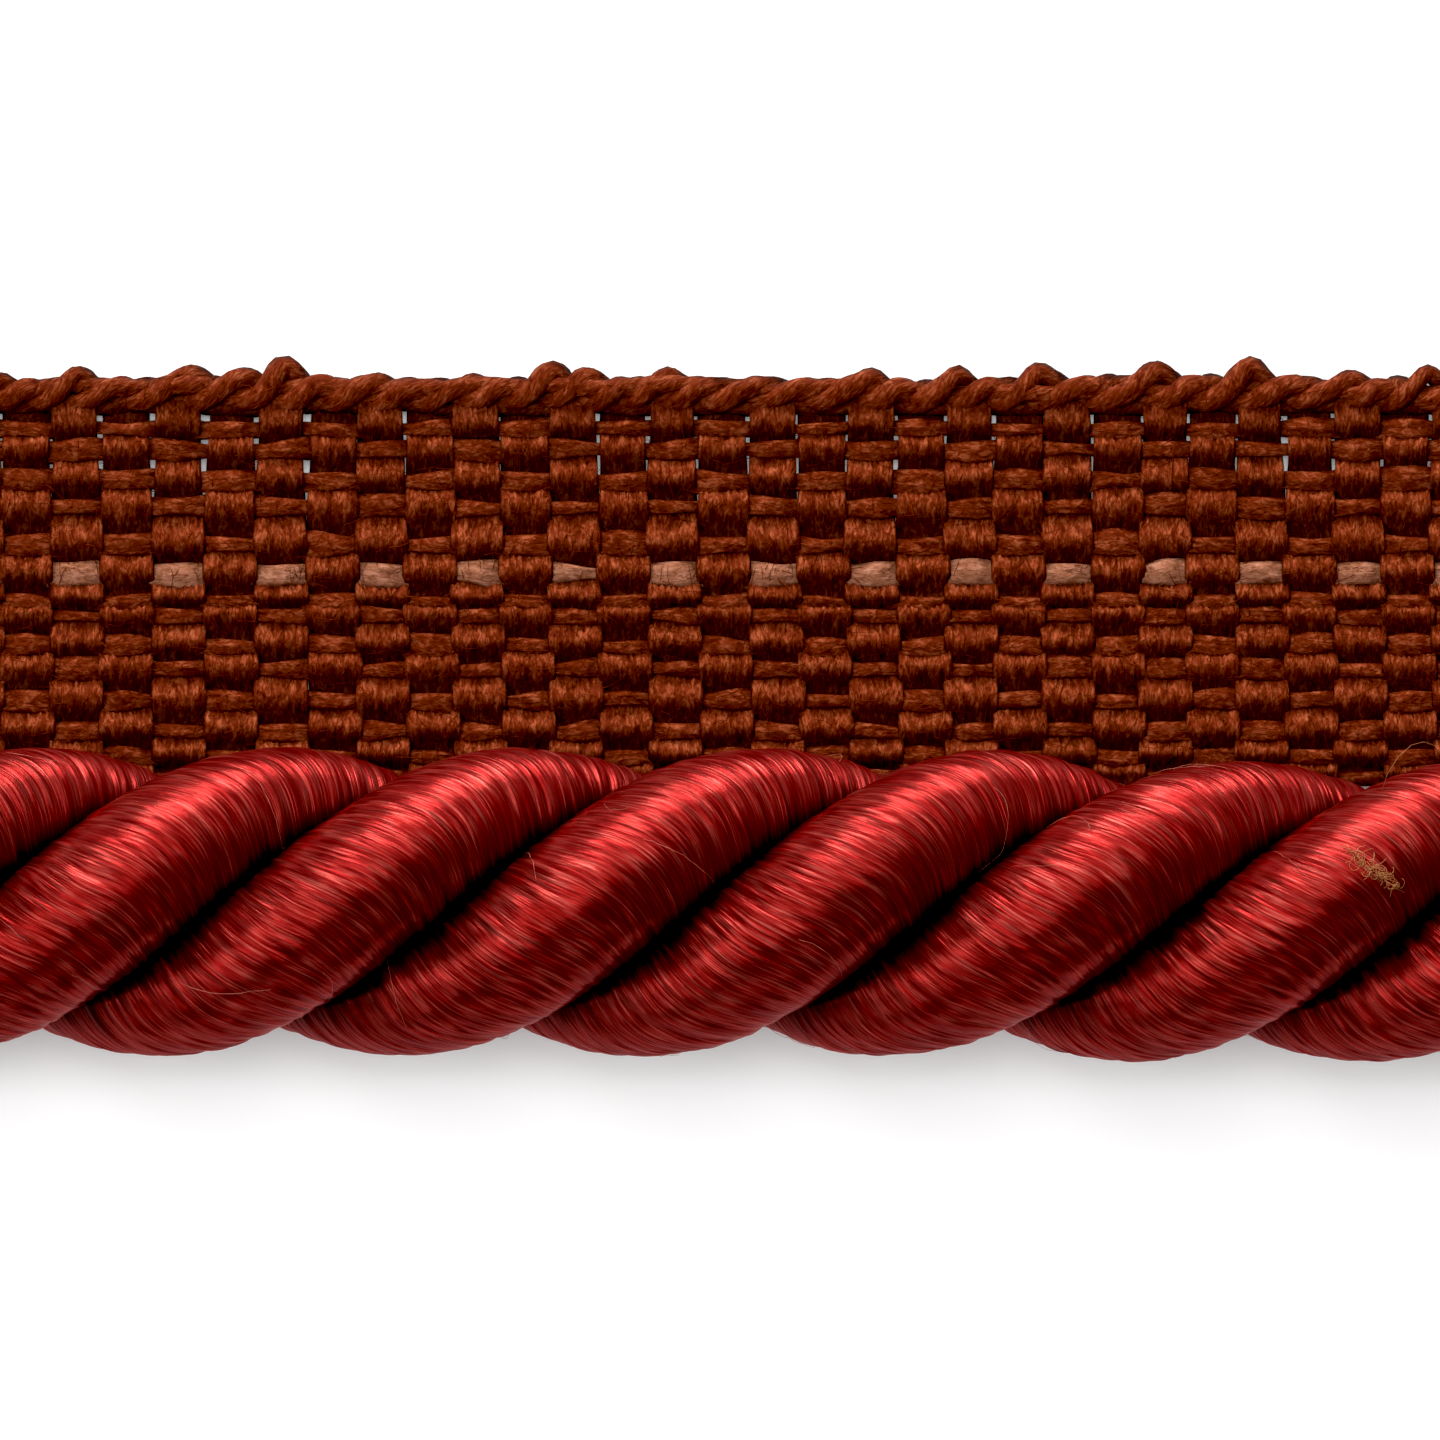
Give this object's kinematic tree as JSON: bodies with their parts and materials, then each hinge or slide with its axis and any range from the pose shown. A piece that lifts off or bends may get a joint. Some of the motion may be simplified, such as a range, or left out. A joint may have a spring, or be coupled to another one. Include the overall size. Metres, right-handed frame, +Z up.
{
  "type": "twisted cord trim",
  "caption": "Cut length of fat satin rope twisted from plies and sewn along the edge of a plain-woven lip with a looped selvedge.",
  "frame": {"origin": "middle of the bounding box in X and Y, on the surface that the trim lies on", "axes": "+X along the trim, +Y from the cord towards the looped selvedge, +Z up"},
  "size_m": [0.0678, 0.022, 0.0094],
  "materials": {
    "cord_red": "satin rayon filament, wrapped across each ply",
    "tape_brown": "matt plain weave of soft spun yarn"
  },
  "bodies": {
    "root": {"ply_1": "cord_red", "ply_2": "cord_red", "ply_3": "cord_red", "tape": "tape_brown"}
  },
  "joints": []
}
